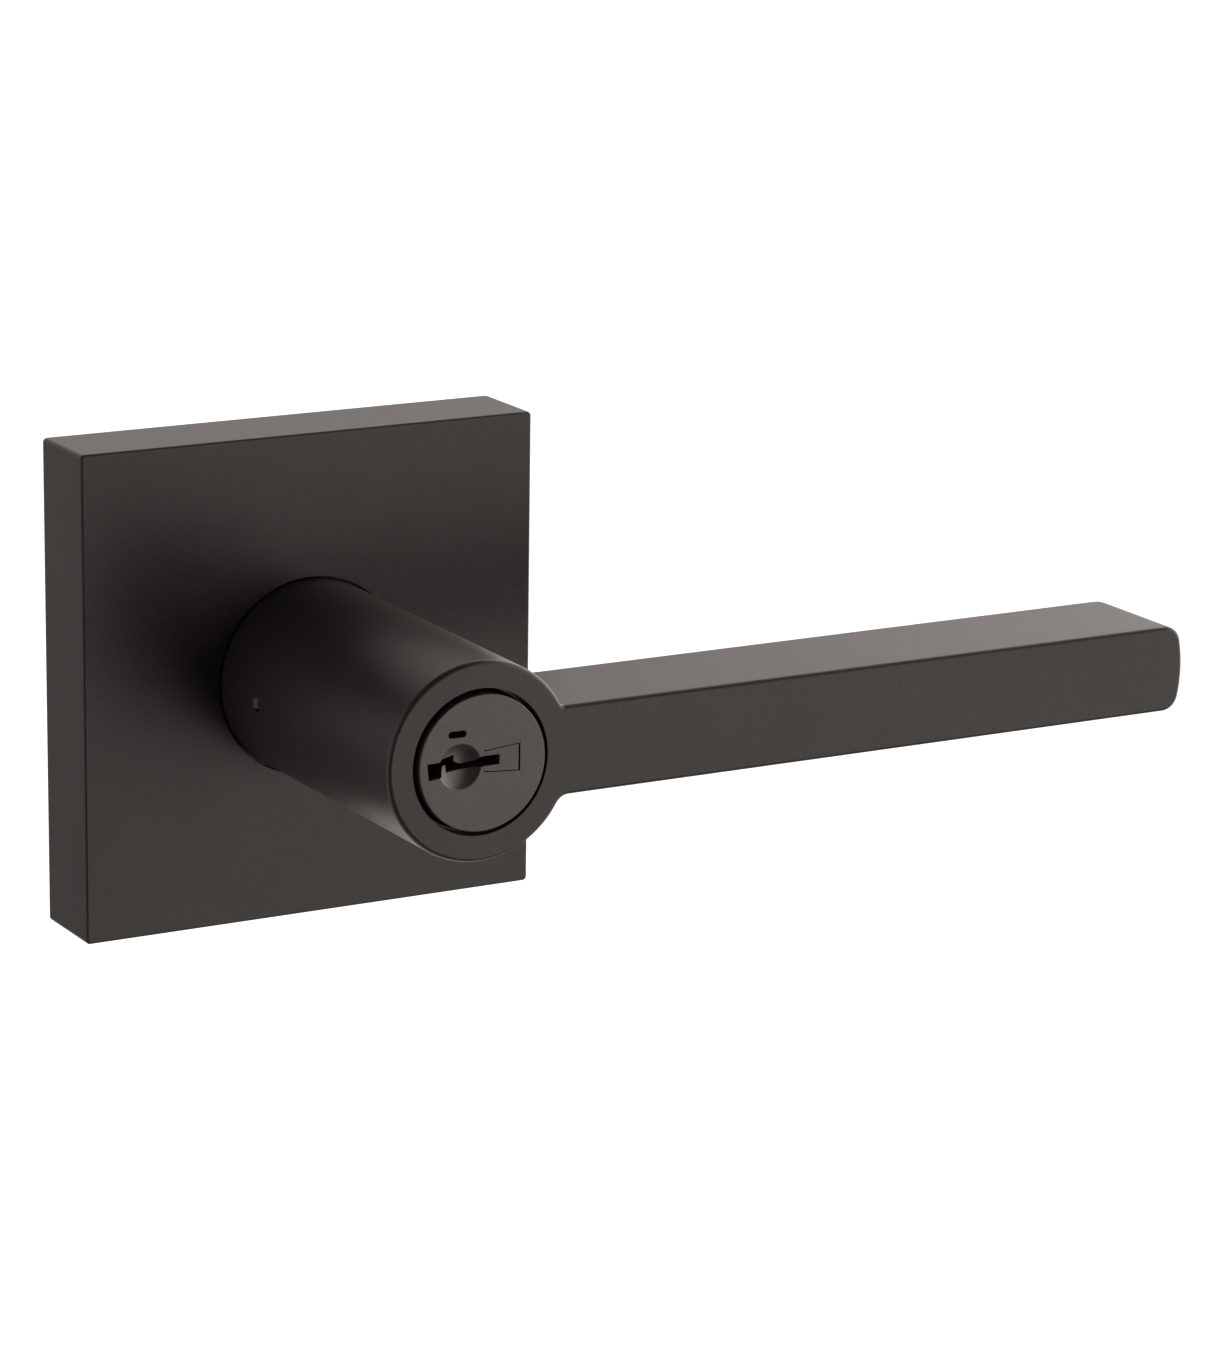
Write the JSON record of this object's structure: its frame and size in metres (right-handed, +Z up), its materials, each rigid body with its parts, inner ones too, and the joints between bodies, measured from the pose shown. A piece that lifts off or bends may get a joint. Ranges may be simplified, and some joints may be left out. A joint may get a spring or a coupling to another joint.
{
  "type": "lever handle lockset",
  "caption": "Keyed lever handle lockset, outside half: square rose, round hub with a lock cylinder, straight rectangular lever, with its drive and rekeyable tumblers inside.",
  "frame": {"origin": "on the spindle axis, in the plane of the door's face, which is the rose's open back", "axes": "+Z up, +Y into the door along the spindle, -Y out to the user, +X from the hub to the lever's tip"},
  "size_m": [0.1435, 0.1145, 0.0674],
  "materials": {
    "dark_bronze": "satin dark bronze, very fine grain",
    "dark_bronze_plug": "satin dark bronze, a little lighter than the hub",
    "zinc_plate": "bright zinc plated steel",
    "cast_zinc": "die cast zinc, matt",
    "steel": "plain machined steel",
    "spring_steel": "drawn spring wire and strip",
    "brass": "machined brass"
  },
  "bodies": {
    "door_side": {"rose_cover": "dark_bronze", "mounting_plate": "zinc_plate", "post_left": "zinc_plate", "post_right": "zinc_plate", "spring_cage": "dark_bronze", "cage_screw_upper": "steel", "cage_screw_lower": "steel", "return_spring_left": "spring_steel", "return_spring_right": "spring_steel", "tube_bush": "brass", "thrust_washer": "steel"},
    "lever": {"lever": "dark_bronze", "drive_tube": "steel", "spring_driver": "zinc_plate", "tube_circlip": "spring_steel", "spindle": "zinc_plate", "spindle_circlip": "spring_steel", "catch_spring": "spring_steel", "cylinder_housing": "dark_bronze"},
    "catch": {"lever_catch": "steel"},
    "plug": {"plug": "dark_bronze_plug", "keyway_insert": "dark_bronze_plug", "spring_strip": "brass", "plug_cover": "brass", "plug_clip": "spring_steel", "tail_cap": "cast_zinc", "torque_bar": "zinc_plate", "bar_spring_front": "spring_steel", "bar_spring_rear": "spring_steel", "carrier_spring": "spring_steel", "tumbler_spring_1": "spring_steel", "tumbler_spring_2": "spring_steel", "tumbler_spring_3": "spring_steel", "tumbler_spring_4": "spring_steel", "tumbler_spring_5": "spring_steel"},
    "locking_bar": {"locking_bar": "steel"},
    "rack_carrier": {"rack_carrier": "cast_zinc"},
    "tumbler_1": {"tumbler_pin_1": "brass"},
    "tumbler_2": {"tumbler_pin_2": "brass"},
    "tumbler_3": {"tumbler_pin_3": "brass"},
    "tumbler_4": {"tumbler_pin_4": "brass"},
    "tumbler_5": {"tumbler_pin_5": "brass"},
    "rack_1": {"rack_1": "steel"},
    "rack_2": {"rack_2": "steel"},
    "rack_3": {"rack_3": "steel"},
    "rack_4": {"rack_4": "steel"},
    "rack_5": {"rack_5": "steel"}
  },
  "joints": [
    {"name": "lever_turn", "type": "hinge", "parent": "door_side", "child": "lever", "pos_m": [0, 0, 0], "axis": [0, 1, 0], "range_deg": [-50, 50], "stiffness_Nm_per_rad": 0.6, "deforming": ["return_spring_left", "return_spring_right"]},
    {"name": "plug_turn", "type": "hinge", "parent": "lever", "child": "plug", "pos_m": [0, 0, 0], "axis": [0, 1, 0], "range_deg": [-90, 90]},
    {"name": "catch_press", "type": "slide", "parent": "lever", "child": "catch", "axis": [1, 0, 0], "range_m": [0, 0.0018], "deforming": ["catch_spring"]},
    {"name": "locking_bar_slide", "type": "slide", "parent": "plug", "child": "locking_bar", "axis": [0, 0, 1], "range_m": [0, 0.001], "deforming": ["bar_spring_front", "bar_spring_rear"]},
    {"name": "carrier_slide", "type": "slide", "parent": "plug", "child": "rack_carrier", "axis": [0, 1, 0], "range_m": [0, 0.0025], "deforming": ["carrier_spring"]},
    {"name": "tumbler_1_lift", "type": "slide", "parent": "plug", "child": "tumbler_1", "axis": [1, 0, 0], "range_m": [0, 0.0025], "deforming": ["tumbler_spring_1"]},
    {"name": "tumbler_2_lift", "type": "slide", "parent": "plug", "child": "tumbler_2", "axis": [1, 0, 0], "range_m": [0, 0.0025], "deforming": ["tumbler_spring_2"]},
    {"name": "tumbler_3_lift", "type": "slide", "parent": "plug", "child": "tumbler_3", "axis": [1, 0, 0], "range_m": [0, 0.0025], "deforming": ["tumbler_spring_3"]},
    {"name": "tumbler_4_lift", "type": "slide", "parent": "plug", "child": "tumbler_4", "axis": [1, 0, 0], "range_m": [0, 0.0025], "deforming": ["tumbler_spring_4"]},
    {"name": "tumbler_5_lift", "type": "slide", "parent": "plug", "child": "tumbler_5", "axis": [1, 0, 0], "range_m": [0, 0.0025], "deforming": ["tumbler_spring_5"]},
    {"name": "rack_1_lift", "type": "slide", "parent": "rack_carrier", "child": "rack_1", "axis": [1, 0, 0], "range_m": [0, 0.0025]},
    {"name": "rack_2_lift", "type": "slide", "parent": "rack_carrier", "child": "rack_2", "axis": [1, 0, 0], "range_m": [0, 0.0025]},
    {"name": "rack_3_lift", "type": "slide", "parent": "rack_carrier", "child": "rack_3", "axis": [1, 0, 0], "range_m": [0, 0.0025]},
    {"name": "rack_4_lift", "type": "slide", "parent": "rack_carrier", "child": "rack_4", "axis": [1, 0, 0], "range_m": [0, 0.0025]},
    {"name": "rack_5_lift", "type": "slide", "parent": "rack_carrier", "child": "rack_5", "axis": [1, 0, 0], "range_m": [0, 0.0025]}
  ],
  "couplings": [
    {"joint": "rack_1_lift", "follows": "tumbler_1_lift", "ratio": 1},
    {"joint": "rack_2_lift", "follows": "tumbler_2_lift", "ratio": 1},
    {"joint": "rack_3_lift", "follows": "tumbler_3_lift", "ratio": 1},
    {"joint": "rack_4_lift", "follows": "tumbler_4_lift", "ratio": 1},
    {"joint": "rack_5_lift", "follows": "tumbler_5_lift", "ratio": 1}
  ]
}
